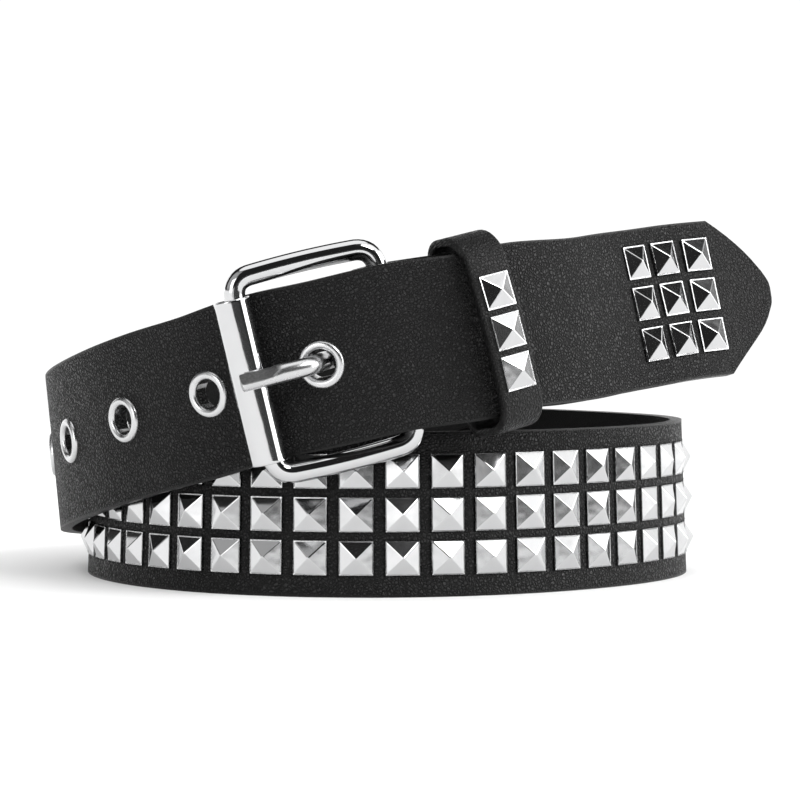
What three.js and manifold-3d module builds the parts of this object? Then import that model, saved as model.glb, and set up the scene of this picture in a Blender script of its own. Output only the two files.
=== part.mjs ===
// A studded leather belt, buckled and wound into a double coil that stands on its lower turn.
// Millimetres, +Z up. The front of the coil faces -Y, and the strap runs clockwise seen from above,
// from its pointed end at the front right, through the buckle and twice round, back to the buckle.
import * as THREE from 'three';
import { mergeVertices } from 'three/addons/utils/BufferGeometryUtils.js';
import Module from 'manifold-3d';

// Strap
const STRAP_WIDTH = 38;
const STRAP_THICK = 3;
const EDGE_CHAMFER = 0.5;
const COIL_RADIUS = 75;
const FLOOR_PRESS = 0.12;
const TIP_LENGTH = 15.2;

// Clearances
const SEAT_GAP = 0.3;
const LAYER_GAP = 0.3;
const BAR_GAP = 0.4;

// Pyramid studs
const STUD_SIDE = 7.9;
const STUD_HEIGHT = 2.4;
const STUD_RIM = 0.5;
const STUD_SINK = 0.4;
const STUD_PITCH = 10.36;
const ROW_PITCH = 9.93;
const TIP_STUD_PITCH = 10.45;
const TIP_STUD_RISE = 0.95;
const TIP_MARGIN = 0.7;
const STUD_MARGIN = 0.2;
const FIELD_MARGIN = 28.7;
const FIELD_TO_KEEPER = 28;

// Eyelets
const EYELET_COUNT = 8;
const EYELET_PITCH = 29.6;
const EYELET_BORE = 3.4;
const EYELET_WALL = 0.4;
const EYELET_RIM = 5.5;
const EYELET_PROUD = 0.8;
const EYELET_SHOULDER = 0.7;

// Buckle: its frame stands in a plane of its own. turn, radius and height place its middle as the
// strap's line is placed; facing, tilt and lean are degrees by which it is turned
const BUCKLE_PLACE = { turn: 98.25, radius: 1.1493, height: 1.429, facing: 9, tilt: 13.4, lean: 0 };
const FRAME_LENGTH = 38.2;
const FRAME_WIRE = 4.9;
const FRAME_SIDE_GAP = 1.5;
const FRAME_CORNER_ROLLER = 5.1;
const FRAME_CORNER_HEEL = 5.4;
const FRAME_BOW = 0.6;
const ROLLER_OUTER = 4.2;
const ROLLER_WALL = 0.5;
const ROLLER_END_GAP = 1.5;
const ROLLER_DROP = 0.6;
const STRAP_DROP = 0.5;
const PRONG_WIRE = 4.3;
const PRONG_EYE_WALL = 2.2;
const PRONG_TIP_OVERHANG = 2.9;
const PRONG_TIP_FLAT = 8;
const PRONG_TIP_CUT = 36;
const SLOT_WIDTH = 6.4;

// Keeper: the loop behind the buckle. Its front is bent out, most of all a little below its middle;
// its corners are rounder before the strap than behind it
const KEEPER_PLACE = { turn: 73.2, radius: 1.0965, height: 1.592, facing: 34, tilt: 12, lean: 7 };
const KEEPER_WIDTH = 10.9;
const KEEPER_WALL = 2;
const KEEPER_ROOM = 2.1;
const KEEPER_BULGE = 2;
const KEEPER_BULGE_DROP = 5;
const KEEPER_SLACK = 0.75;
const KEEPER_RISE = 0.05;
const KEEPER_FRONT = { top: 7, foot: 6.2 };
const KEEPER_BACK = { top: 5, foot: 4 };
const KEEPER_STUD_PITCH = 9.4;
const KEEPER_STUD_DROP = 0.6;
const TAB_PAST_KEEPER = 11.5;
const TAB_SAG = 2;
const TAB_RISE = 0.9;

// Facet sizes
const LONGEST_FACET = 9;
const SHARPEST_BEND = 10;
const FOLD_BEND = 22;
const FOLD_STEP = 22.5;
const EYELET_SIDES = 10;
const ROLLER_SIDES = 20;
const PRONG_EYE_SIDES = 18;
const KEEPER_FRONT_STEPS = 6;
const KEEPER_CORNER_STEPS = 4;

const LEATHER = new THREE.MeshStandardMaterial({ color: 0x151517, roughness: 0.55, metalness: 0 });
const CHROME = new THREE.MeshStandardMaterial({ color: 0xd2d4d6, roughness: 0.15, metalness: 1 });

const wasm = await Module();
wasm.setup();

const HALF_WIDTH = STRAP_WIDTH / 2;
const HALF_THICK = STRAP_THICK / 2;
const LAYER_STEP = STRAP_THICK + LAYER_GAP;
const HEEL_U = FRAME_LENGTH / 2 - FRAME_WIRE / 2;
const FOLD_RADIUS = FRAME_WIRE / 2 + BAR_GAP + HALF_THICK;
const ROLLER_HANG = ROLLER_OUTER - ROLLER_WALL - FRAME_WIRE / 2 - BAR_GAP;
const ROLLER_U = -HEEL_U - ROLLER_HANG;
const KEEPER_HALF_DEPTH = HALF_THICK + LAYER_STEP + KEEPER_SLACK + KEEPER_WALL;
const FRAME_HEIGHT = STRAP_WIDTH + 2 * (FRAME_SIDE_GAP + FRAME_WIRE);
const ROLLER_LENGTH = FRAME_HEIGHT - 2 * (FRAME_WIRE + ROLLER_END_GAP);
const rad = THREE.MathUtils.degToRad;

// Shares of the strap's half width above and below its middle line, at shares of the pointed end's
// length from the nose back
const TIP_OUTLINE = [
  { along: 0, above: 0.08, below: 0.05 },
  { along: 0.06, above: 0.22, below: 0.2 },
  { along: 0.21, above: 0.39, below: 0.41 },
  { along: 0.46, above: 0.62, below: 0.62 },
  { along: 0.76, above: 0.84, below: 0.84 },
  { along: 1, above: 1, below: 1 },
];

// The strap's line through its mid thickness and mid width. turn: degrees clockwise from the right
// hand side; radius: share of the coil's radius; lift: height of the bottom edge as a share of the
// strap's width; lean: degrees by which the top edge leans inwards.
const FREE_END = [
  { turn: 11.6, radius: 1.288, lift: 1.342, lean: 18.2 },
  { turn: 18.1, radius: 1.141, lift: 1.314, lean: 16.1 },
  { turn: 25.4, radius: 1.058, lift: 1.285, lean: 14.3 },
  { turn: 34.9, radius: 1.009, lift: 1.245, lean: 12.5 },
  { turn: 45.1, radius: 1.008, lift: 1.21, lean: 10.3 },
  { turn: 54.1, radius: 1.04, lift: 1.176, lean: 8.2 },
];
const TWO_TURNS = [
  { turn: 118.9, radius: 1.12, lift: 0.71, lean: -6 },
  { turn: 131, radius: 1.087, lift: 0.607, lean: -5 },
  { turn: 146.2, radius: 1.072, lift: 0.478, lean: -5 },
  { turn: 165.6, radius: 1.069, lift: 0.342, lean: -5.6 },
  { turn: 182, radius: 1.074, lift: 0.255, lean: -5.5 },
  { turn: 200, radius: 1.08, lift: 0.185, lean: -4.5 },
  { turn: 220, radius: 1.085, lift: 0.11, lean: -3 },
  { turn: 240, radius: 1.085, lift: 0.045, lean: -1.5 },
  { turn: 258, radius: 1.08, lift: 0.008, lean: 0 },
  { turn: 274, radius: 1.07, lift: 0, lean: 1 },
  { turn: 290, radius: 1.05, lift: 0, lean: 2 },
  { turn: 304, radius: 1.012, lift: 0, lean: 2 },
  { turn: 318, radius: 0.977, lift: 0, lean: 2 },
  { turn: 332, radius: 0.97, lift: 0, lean: 2 },
  { turn: 345, radius: 0.981, lift: 0, lean: 2 },
  { turn: 360, radius: 0.988, lift: 0, lean: 2 },
  { turn: 375, radius: 0.984, lift: 0, lean: 2 },
  { turn: 390, radius: 0.975, lift: 0, lean: 2 },
  { turn: 405, radius: 0.973, lift: 0, lean: 2 },
  { turn: 420, radius: 0.988, lift: 0, lean: 2 },
  { turn: 435, radius: 1.011, lift: 0, lean: 2 },
  { turn: 450, radius: 1.03, lift: 0, lean: 2 },
  { turn: 465, radius: 1.032, lift: 0, lean: 2 },
  { turn: 480, radius: 1.015, lift: 0, lean: 2 },
  { turn: 495, radius: 0.988, lift: 0, lean: 2 },
  { turn: 510, radius: 0.964, lift: 0, lean: 2 },
  { turn: 525, radius: 0.951, lift: 0, lean: 2 },
  { turn: 540, radius: 0.95, lift: 0.003, lean: 2 },
  { turn: 556, radius: 0.955, lift: 0.04, lean: 2 },
  { turn: 575, radius: 0.965, lift: 0.185, lean: 2 },
  { turn: 600, radius: 0.978, lift: 0.42, lean: 1 },
  { turn: 625, radius: 0.98, lift: 0.66, lean: 0 },
  { turn: 650, radius: 0.972, lift: 0.9, lean: 0 },
  { turn: 670, radius: 0.962, lift: 1.075, lean: 0 },
  { turn: 690, radius: 0.955, lift: 1.195, lean: 1 },
  { turn: 708, radius: 0.955, lift: 1.25, lean: 3 },
  { turn: 722, radius: 0.952, lift: 1.255, lean: 6 },
  { turn: 737, radius: 0.94, lift: 1.245, lean: 9.5 },
  { turn: 752, radius: 0.93, lift: 1.22, lean: 11 },
  { turn: 766, radius: 0.937, lift: 1.183, lean: 10.5 },
  { turn: 776, radius: 0.985, lift: 1.155, lean: 8.5 },
];

// The prong's line in the buckle's own plane. along: from the roller (0) to the heel bar (1);
// out: share of the height at which the prong lies on the roller
const PRONG_LINE = [
  { along: 0.29, out: 1 },
  { along: 0.38, out: 0.86 },
  { along: 0.455, out: 0.3 },
  { along: 0.515, out: -0.2 },
  { along: 0.61, out: -0.36 },
  { along: 0.74, out: -0.22 },
];

// Where the tail crosses from behind the roller to before the heel bar: its first hole
const CROSSING = { along: 0.475, out: 2.2 };

// Holders are empty nodes that carry pieces: x along the strap to the right, y inwards, z across it
function holder(place) {
  const frame = new THREE.Group();
  const reach = place.radius * COIL_RADIUS;
  frame.position.set(
    reach * Math.cos(rad(place.turn)),
    -reach * Math.sin(rad(place.turn)),
    place.height * STRAP_WIDTH,
  );
  frame.rotation.set(-rad(place.lean), -rad(place.tilt), rad(place.facing), 'ZYX');
  frame.updateMatrixWorld(true);
  return frame;
}

const buckle = holder(BUCKLE_PLACE);
const keeperHold = holder(KEEPER_PLACE);

function addPiece(parent, name, geometry, material) {
  const mesh = new THREE.Mesh(geometry, material);
  mesh.name = name;
  parent.add(mesh);
  return mesh;
}

function toSolid(geometry) {
  const bare = geometry.index ? geometry.clone() : mergeVertices(geometry.clone());
  bare.deleteAttribute('normal');
  bare.deleteAttribute('uv');
  const merged = mergeVertices(bare, 1e-4);
  const vertProperties = new Float32Array(merged.attributes.position.array);
  const triVerts = new Uint32Array(merged.index.array);
  return new wasm.Manifold(new wasm.Mesh({ numProp: 3, vertProperties, triVerts }));
}

function toGeometry(solid) {
  const { vertProperties, triVerts } = solid.getMesh();
  const geometry = new THREE.BufferGeometry();
  geometry.setAttribute('position', new THREE.BufferAttribute(vertProperties, 3));
  geometry.setIndex(new THREE.BufferAttribute(triVerts, 1));
  geometry.computeVertexNormals();
  return geometry;
}

// Skin over a row of rings with equal numbers of points; a closed row meets itself, an open one
// gets flat ends
function skin(rings, closed) {
  const count = rings[0].length;
  const positions = rings.flat().flatMap((point) => point.toArray());
  const faces = [];
  const spans = closed ? rings.length : rings.length - 1;
  for (let row = 0; row < spans; row += 1) {
    const next = (row + 1) % rings.length;
    for (let side = 0; side < count; side += 1) {
      const turn = (side + 1) % count;
      const a = row * count + side;
      const b = row * count + turn;
      const c = next * count + turn;
      const d = next * count + side;
      faces.push(a, b, c, a, c, d);
    }
  }
  if (!closed) {
    const last = (rings.length - 1) * count;
    for (let side = 1; side < count - 1; side += 1) {
      faces.push(0, side + 1, side);
      faces.push(last, last + side, last + side + 1);
    }
  }
  const geometry = new THREE.BufferGeometry();
  geometry.setAttribute('position', new THREE.Float32BufferAttribute(positions, 3));
  geometry.setIndex(faces);
  return geometry;
}

// One square pyramid stud with a short upright rim; its base lies on z = 0 and it points to +Z
function studGeometry(sink) {
  const corner = STUD_SIDE / Math.SQRT2;
  const profile = [
    new THREE.Vector2(0, -sink),
    new THREE.Vector2(corner, -sink),
    new THREE.Vector2(corner, STUD_RIM),
    new THREE.Vector2(0, STUD_HEIGHT),
  ];
  const geometry = new THREE.LatheGeometry(profile, 4, Math.PI / 4);
  return geometry.rotateX(Math.PI / 2);
}

// Control points of the strap's line, each with the direction across the strap
function tablePoint(row) {
  const angle = -rad(row.turn);
  const lean = rad(row.lean);
  const height = row.lift * STRAP_WIDTH + HALF_WIDTH * Math.cos(lean) - FLOOR_PRESS;
  const outward = new THREE.Vector3(Math.cos(angle), Math.sin(angle), 0);
  const point = outward.clone().multiplyScalar(row.radius * COIL_RADIUS).setZ(height);
  const across = outward.multiplyScalar(-Math.sin(lean)).setZ(Math.cos(lean));
  return { point, across };
}

function heldPoint(frame, along, out, rise) {
  const point = frame.localToWorld(new THREE.Vector3(along, -out, rise));
  const across = new THREE.Vector3(0, 0, 1).transformDirection(frame.matrixWorld);
  return { point, across };
}

const inBuckle = (along, out) => heldPoint(buckle, along, out, -STRAP_DROP);
const inKeeper = (along, out, rise = 0) => heldPoint(keeperHold, along, out, rise);

const alongBuckle = (share) => THREE.MathUtils.lerp(-HEEL_U, HEEL_U, share);
const crossingU = alongBuckle(CROSSING.along);
const behindRoller = ROLLER_OUTER + BAR_GAP + HALF_THICK;
const crossingSlope = Math.atan2(CROSSING.out + behindRoller, crossingU - ROLLER_U);
const rollerPoint = inBuckle(
  ROLLER_U + behindRoller * Math.sin(crossingSlope),
  -behindRoller * Math.cos(crossingSlope),
);
const crossingPoint = inBuckle(crossingU, CROSSING.out);

function foldPoints() {
  const points = [];
  for (let angle = 90; angle <= 270; angle += FOLD_STEP) {
    const along = HEEL_U + FOLD_RADIUS * Math.cos(rad(angle));
    points.push(inBuckle(along, FOLD_RADIUS * Math.sin(rad(angle))));
  }
  return points;
}

const halfKeeper = KEEPER_WIDTH / 2;
const keeperEntry = inKeeper(halfKeeper, 0);
const controls = [
  ...FREE_END.map(tablePoint),
  inKeeper(halfKeeper, LAYER_STEP),
  inKeeper(-halfKeeper, LAYER_STEP),
  inBuckle(HEEL_U, FOLD_RADIUS + LAYER_STEP),
  crossingPoint,
  rollerPoint,
  ...TWO_TURNS.map(tablePoint),
  keeperEntry,
  inKeeper(-halfKeeper, 0),
  ...foldPoints(),
  inKeeper(-halfKeeper, -LAYER_STEP, TAB_RISE),
  inKeeper(halfKeeper + TAB_PAST_KEEPER, -LAYER_STEP, TAB_RISE - TAB_SAG),
];

// Fine samples of the line with their distance from the nose
const SAMPLES_PER_SPAN = 40;
const line = new THREE.CatmullRomCurve3(controls.map((control) => control.point), false, 'centripetal');
const sampleCount = (controls.length - 1) * SAMPLES_PER_SPAN;
const samples = [];
for (let index = 0; index <= sampleCount; index += 1) {
  const span = Math.min(Math.floor(index / SAMPLES_PER_SPAN), controls.length - 2);
  const share = index / SAMPLES_PER_SPAN - span;
  const point = line.getPoint(index / sampleCount);
  const across = controls[span].across.clone().lerp(controls[span + 1].across, share);
  const last = samples.at(-1) ?? { point, distance: 0 };
  const distance = last.distance + point.distanceTo(last.point);
  samples.push({ point, across, distance });
}
const strapLength = samples[sampleCount].distance;
const distanceAt = (control) => samples[controls.indexOf(control) * SAMPLES_PER_SPAN].distance;

function station(distance) {
  const wanted = THREE.MathUtils.clamp(distance, 0, strapLength);
  const found = samples.findIndex((sample) => sample.distance >= wanted);
  const index = THREE.MathUtils.clamp(found, 1, sampleCount - 1);
  const before = samples[index - 1];
  const after = samples[index];
  const share = (wanted - before.distance) / (after.distance - before.distance);
  const point = before.point.clone().lerp(after.point, share);
  const tangent = samples[index + 1].point.clone().sub(before.point).normalize();
  const across = before.across.clone().lerp(after.across, share);
  across.addScaledVector(tangent, -across.dot(tangent)).normalize();
  const outward = across.clone().cross(tangent);
  return { distance, point, tangent, across, outward };
}

// Distances from the nose at which the strap must have an edge between two flat facets
const eyeletFacet = 2 * (EYELET_RIM + SEAT_GAP);
const firstEyelet = distanceAt(crossingPoint);
const eyeletDistances = [];
for (let index = 0; index < EYELET_COUNT; index += 1) {
  eyeletDistances.push(firstEyelet + index * EYELET_PITCH);
}
const tipFacet = STUD_SIDE + 2 * STUD_MARGIN;
const firstColumn = TIP_LENGTH + TIP_MARGIN + tipFacet / 2;
const tipColumns = [0, 1, 2].map((index) => firstColumn + index * TIP_STUD_PITCH);
const fieldStart = eyeletDistances[EYELET_COUNT - 1] + FIELD_MARGIN;
const fieldRoom = distanceAt(keeperEntry) - FIELD_TO_KEEPER - fieldStart;
const fieldColumns = Math.floor(fieldRoom / STUD_PITCH);
const fieldDistances = [];
for (let index = 0; index < fieldColumns; index += 1) {
  fieldDistances.push(fieldStart + (index + 0.5) * STUD_PITCH);
}

function facetEdges() {
  const marks = TIP_OUTLINE.map((row) => row.along * TIP_LENGTH);
  tipColumns.forEach((middle) => marks.push(middle - tipFacet / 2, middle + tipFacet / 2));
  eyeletDistances.forEach((middle) => marks.push(middle - eyeletFacet / 2, middle + eyeletFacet / 2));
  fieldDistances.forEach((middle) => marks.push(middle - STUD_PITCH / 2, middle + STUD_PITCH / 2));
  marks.push(strapLength);
  marks.sort((a, b) => a - b);
  return marks.filter((mark, index) => index === 0 || mark - marks[index - 1] > 0.01);
}

// The facets that carry studs and eyelets stay whole, and the others are divided where the strap
// is long or bends
function stations() {
  const carrying = [...tipColumns, ...eyeletDistances, ...fieldDistances];
  const edges = facetEdges();
  const result = [station(edges[0])];
  for (let index = 1; index < edges.length; index += 1) {
    const from = edges[index - 1];
    const to = edges[index];
    if (carrying.some((middle) => middle > from && middle < to)) {
      result.push(station(to));
      continue;
    }
    const pieces = Math.ceil((to - from) / LONGEST_FACET);
    for (let piece = 1; piece <= pieces; piece += 1) {
      const start = from + ((piece - 1) * (to - from)) / pieces;
      const end = from + (piece * (to - from)) / pieces;
      pushBending(result, start, end);
    }
  }
  return result;
}

function pushBending(result, start, end) {
  const first = station(start);
  const bend = THREE.MathUtils.radToDeg(
    first.tangent.angleTo(station((start + end) / 2).tangent)
    + station((start + end) / 2).tangent.angleTo(station(end).tangent),
  );
  const parts = Math.max(1, Math.ceil(bend / (bend > 3 * SHARPEST_BEND ? FOLD_BEND : SHARPEST_BEND)));
  for (let part = 1; part <= parts; part += 1) {
    result.push(station(start + ((end - start) * part) / parts));
  }
}

// Half widths of the strap above and below its middle line
function halfWidthsAt(distance) {
  const along = distance / TIP_LENGTH;
  if (along >= 1) return { above: HALF_WIDTH, below: HALF_WIDTH };
  const next = TIP_OUTLINE.findIndex((row) => row.along > along);
  const low = TIP_OUTLINE[next - 1];
  const high = TIP_OUTLINE[next];
  const share = (along - low.along) / (high.along - low.along);
  return {
    above: HALF_WIDTH * THREE.MathUtils.lerp(low.above, high.above, share),
    below: HALF_WIDTH * THREE.MathUtils.lerp(low.below, high.below, share),
  };
}

function sectionRing(place) {
  const { above, below } = halfWidthsAt(place.distance);
  const thin = HALF_THICK - EDGE_CHAMFER;
  const top = above - EDGE_CHAMFER;
  const bottom = EDGE_CHAMFER - below;
  const corners = [
    [-below, thin], [bottom, HALF_THICK], [top, HALF_THICK], [above, thin],
    [above, -thin], [top, -HALF_THICK], [bottom, -HALF_THICK], [-below, -thin],
  ];
  return corners.map(([across, out]) => {
    const point = place.point.clone();
    point.addScaledVector(place.across, across).addScaledVector(place.outward, out);
    return point.setZ(Math.max(point.z, 0));
  });
}

// The middle of a facet, with x along the strap, y up across it and z outwards
function facetMiddle(distance, length) {
  const before = station(distance - length / 2);
  const after = station(distance + length / 2);
  const tangent = after.point.clone().sub(before.point).normalize();
  const across = before.across.clone().add(after.across).normalize();
  across.addScaledVector(tangent, -across.dot(tangent)).normalize();
  const outward = across.clone().cross(tangent);
  const point = before.point.clone().lerp(after.point, 0.5);
  return new THREE.Matrix4().makeBasis(tangent.negate(), across, outward).setPosition(point);
}

function strapSolid() {
  const body = toSolid(skin(stations().map(sectionRing), false));
  const studs = [];
  fieldDistances.forEach((distance) => {
    const place = facetMiddle(distance, STUD_PITCH);
    [-ROW_PITCH, 0, ROW_PITCH].forEach((shift) => {
      const stud = studGeometry(STUD_SINK).translate(0, shift, HALF_THICK);
      studs.push(toSolid(stud.applyMatrix4(place)));
    });
  });
  const holeRadius = EYELET_BORE + EYELET_WALL + LAYER_GAP;
  const holes = eyeletDistances.map((distance) => {
    const hole = new THREE.CylinderGeometry(holeRadius, holeRadius, STRAP_THICK * 2, 12);
    return toSolid(hole.rotateX(Math.PI / 2).applyMatrix4(facetMiddle(distance, eyeletFacet)));
  });
  const slotRadius = FOLD_RADIUS + HALF_THICK + LAYER_GAP / 2;
  const slot = new THREE.CylinderGeometry(slotRadius, slotRadius, SLOT_WIDTH, 24);
  slot.rotateX(Math.PI / 2).translate(HEEL_U, 0, 0).applyMatrix4(buckle.matrixWorld);
  const studded = wasm.Manifold.union([body, ...studs]);
  return studded.subtract(wasm.Manifold.union([...holes, toSolid(slot)]));
}

function addTipStuds(parent) {
  let number = 0;
  tipColumns.forEach((distance) => {
    const place = facetMiddle(distance, tipFacet);
    [ROW_PITCH, 0, -ROW_PITCH].forEach((shift) => {
      number += 1;
      const stud = studGeometry(0).translate(0, shift + TIP_STUD_RISE, HALF_THICK + SEAT_GAP);
      addPiece(parent, `tip_stud_${number}`, stud.applyMatrix4(place), CHROME);
    });
  });
}

// An eyelet is one turned ring: a barrel through the leather, a rolled rim outside and a flange inside
function addEyelets(parent) {
  const seat = HALF_THICK + SEAT_GAP;
  const barrel = EYELET_BORE + EYELET_WALL;
  const inner = barrel + (EYELET_RIM - barrel) * EYELET_SHOULDER;
  const profile = [
    new THREE.Vector2(EYELET_BORE, -seat - EYELET_WALL),
    new THREE.Vector2(inner, -seat - EYELET_WALL),
    new THREE.Vector2(inner, -seat),
    new THREE.Vector2(barrel, -seat),
    new THREE.Vector2(barrel, seat),
    new THREE.Vector2(EYELET_RIM, seat),
    new THREE.Vector2(EYELET_RIM - EYELET_WALL, seat + EYELET_PROUD * EYELET_SHOULDER),
    new THREE.Vector2(barrel + EYELET_WALL, seat + EYELET_PROUD),
    new THREE.Vector2(EYELET_BORE, seat + EYELET_PROUD * (1 - EYELET_SHOULDER)),
    new THREE.Vector2(EYELET_BORE, -seat - EYELET_WALL),
  ];
  eyeletDistances.forEach((distance, index) => {
    const ring = new THREE.LatheGeometry(profile, EYELET_SIDES).rotateX(Math.PI / 2);
    const place = facetMiddle(distance, eyeletFacet);
    addPiece(parent, `eyelet_${index + 1}`, ring.applyMatrix4(place), CHROME);
  });
}

// The frame's wire: a rounded oblong, its top and bottom bars bowed outwards a little
function frameGeometry() {
  const outline = new THREE.Path();
  const high = FRAME_HEIGHT / 2 - FRAME_WIRE / 2;
  const straight = high - FRAME_CORNER_ROLLER;
  const straightHeel = high - FRAME_CORNER_HEEL;
  const bowTop = high + FRAME_BOW;
  outline.moveTo(-HEEL_U, -straight);
  outline.lineTo(-HEEL_U, straight);
  outline.quadraticCurveTo(-HEEL_U, high, -HEEL_U + FRAME_CORNER_ROLLER, high);
  outline.quadraticCurveTo(0, bowTop, HEEL_U - FRAME_CORNER_HEEL, high);
  outline.quadraticCurveTo(HEEL_U, high, HEEL_U, straightHeel);
  outline.lineTo(HEEL_U, -straightHeel);
  outline.quadraticCurveTo(HEEL_U, -high, HEEL_U - FRAME_CORNER_HEEL, -high);
  outline.quadraticCurveTo(0, -bowTop, -HEEL_U + FRAME_CORNER_ROLLER, -high);
  outline.quadraticCurveTo(-HEEL_U, -high, -HEEL_U, -straight);
  const path = outline.getPoints(5);
  const loop = path.filter((point, index) => index === 0 || point.distanceTo(path[index - 1]) > 0.01);
  if (loop[0].distanceTo(loop[loop.length - 1]) < 0.01) loop.pop();
  const sides = 8;
  const rings = loop.map((point, index) => {
    const before = loop[(index + loop.length - 1) % loop.length];
    const after = loop[(index + 1) % loop.length];
    const run = after.clone().sub(before).normalize();
    return Array.from({ length: sides }, (_, side) => {
      const angle = (2 * Math.PI * (side + 0.5)) / sides;
      const aside = (Math.cos(angle) * FRAME_WIRE) / 2;
      const deep = (-Math.sin(angle) * FRAME_WIRE) / 2;
      return new THREE.Vector3(point.x - run.y * aside, deep, point.y + run.x * aside);
    });
  });
  return skin(rings, true);
}

function rollerGeometry() {
  const inner = ROLLER_OUTER - ROLLER_WALL;
  const half = ROLLER_LENGTH / 2;
  const profile = [
    new THREE.Vector2(inner, -half),
    new THREE.Vector2(ROLLER_OUTER, -half),
    new THREE.Vector2(ROLLER_OUTER, half),
    new THREE.Vector2(inner, half),
    new THREE.Vector2(inner, -half),
  ];
  const tube = new THREE.LatheGeometry(profile, ROLLER_SIDES).rotateX(Math.PI / 2);
  return tube.translate(ROLLER_U, 0, -ROLLER_DROP);
}

// The prong: a flat eye round the heel bar, and a round shank that dips behind the tail, comes out
// through the first eyelet and lies on the roller, with a flat pressed on its tip
function prongGeometry() {
  const onRoller = ROLLER_OUTER + BAR_GAP + PRONG_WIRE / 2;
  const eyeInner = FRAME_WIRE / 2 + BAR_GAP;
  const eyeOuter = eyeInner + PRONG_EYE_WALL;
  const tip = ROLLER_U - PRONG_TIP_OVERHANG;
  const points = [
    new THREE.Vector3(tip, -onRoller, 0),
    new THREE.Vector3(alongBuckle(0.1), -onRoller, 0),
    ...PRONG_LINE.map(({ along, out }) => new THREE.Vector3(alongBuckle(along), -out * onRoller, 0)),
    new THREE.Vector3(HEEL_U - (eyeInner + eyeOuter) / 2, 0, 0),
  ];
  const section = new THREE.Shape().absarc(0, 0, PRONG_WIRE / 2, 0, 2 * Math.PI);
  const shank = toSolid(new THREE.ExtrudeGeometry(section, {
    steps: 20,
    curveSegments: 4,
    extrudePath: new THREE.CatmullRomCurve3(points),
  }));
  const halfEye = PRONG_WIRE / 2;
  const eyeProfile = [
    new THREE.Vector2(eyeInner, -halfEye),
    new THREE.Vector2(eyeOuter, -halfEye),
    new THREE.Vector2(eyeOuter, halfEye),
    new THREE.Vector2(eyeInner, halfEye),
    new THREE.Vector2(eyeInner, -halfEye),
  ];
  const eye = new THREE.LatheGeometry(eyeProfile, PRONG_EYE_SIDES).rotateX(Math.PI / 2);
  eye.translate(HEEL_U, 0, 0);
  const bore = new THREE.CylinderGeometry(eyeInner, eyeInner, PRONG_WIRE * 2, PRONG_EYE_SIDES);
  bore.rotateX(Math.PI / 2).translate(HEEL_U, 0, 0);
  const cut = new THREE.BoxGeometry(PRONG_TIP_FLAT, PRONG_WIRE, PRONG_WIRE);
  cut.translate(0, -PRONG_WIRE, PRONG_WIRE * 0.5).rotateX(-rad(PRONG_TIP_CUT));
  cut.translate(tip + PRONG_TIP_FLAT / 2, -onRoller, 0);
  const whole = shank.add(toSolid(eye)).subtract(toSolid(bore)).subtract(toSolid(cut));
  return toGeometry(whole);
}

// How far the keeper's front stands out at a height, and by what angle it slopes there
const keeperReach = HALF_WIDTH + KEEPER_ROOM + KEEPER_WALL + KEEPER_BULGE_DROP;

function keeperFront(height) {
  const share = (height + KEEPER_BULGE_DROP) / keeperReach;
  return {
    out: KEEPER_BULGE * (1 - share * share),
    slope: Math.atan((2 * KEEPER_BULGE * share) / keeperReach),
  };
}

// The keeper's outline, drawn inwards from its outer face by an inset; its front half is bent out
function keeperOutline(PathClass, inset) {
  const flat = new THREE.Path();
  const halfDepth = KEEPER_HALF_DEPTH - inset;
  const halfHeight = HALF_WIDTH + KEEPER_ROOM + KEEPER_WALL - inset;
  const corner = (centreX, centreY, radius, from) => {
    const room = radius - inset;
    const x = centreX * (halfDepth - room);
    const y = centreY * (halfHeight - room);
    flat.absarc(x, y, room, from, from + Math.PI / 2);
  };
  corner(1, 1, KEEPER_BACK.top, 0);
  corner(-1, 1, KEEPER_FRONT.top, Math.PI / 2);
  const from = halfHeight + inset - KEEPER_FRONT.top;
  const to = KEEPER_FRONT.foot - inset - halfHeight;
  for (let step = 1; step < KEEPER_FRONT_STEPS; step += 1) {
    flat.lineTo(-halfDepth, THREE.MathUtils.lerp(from, to, step / KEEPER_FRONT_STEPS));
  }
  corner(-1, -1, KEEPER_FRONT.foot, Math.PI);
  corner(1, -1, KEEPER_BACK.foot, 1.5 * Math.PI);
  const points = flat.getPoints(KEEPER_CORNER_STEPS).map((point) => {
    const share = Math.max(0, -point.x / halfDepth);
    return new THREE.Vector2(point.x - share * keeperFront(point.y).out, point.y);
  });
  return new PathClass(points);
}

function keeperGeometry() {
  const band = keeperOutline(THREE.Shape, 0);
  band.holes.push(keeperOutline(THREE.Path, KEEPER_WALL));
  const geometry = new THREE.ExtrudeGeometry(band, {
    depth: KEEPER_WIDTH,
    bevelEnabled: false,
  });
  geometry.translate(0, 0, -KEEPER_WIDTH / 2);
  geometry.rotateY(Math.PI / 2).rotateX(Math.PI / 2);
  return geometry.translate(0, 0, KEEPER_RISE);
}

function addKeeperStuds(parent) {
  [1, 0, -1].forEach((place, index) => {
    const stud = studGeometry(0).rotateX(Math.PI / 2);
    const height = place * KEEPER_STUD_PITCH - KEEPER_STUD_DROP;
    const { out, slope } = keeperFront(height);
    stud.rotateX(-slope);
    stud.translate(0, -KEEPER_HALF_DEPTH - out - SEAT_GAP, KEEPER_RISE + height);
    addPiece(parent, `keeper_stud_${index + 1}`, stud, CHROME);
  });
}

const coil = new THREE.Group();
addPiece(coil, 'strap', toGeometry(strapSolid()), LEATHER);
addTipStuds(coil);
addEyelets(coil);
addPiece(buckle, 'buckle_frame', frameGeometry(), CHROME);
addPiece(buckle, 'roller', rollerGeometry(), CHROME);
addPiece(buckle, 'prong', prongGeometry(), CHROME);
addPiece(keeperHold, 'keeper', keeperGeometry(), LEATHER);
addKeeperStuds(keeperHold);
coil.add(buckle, keeperHold);

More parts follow.
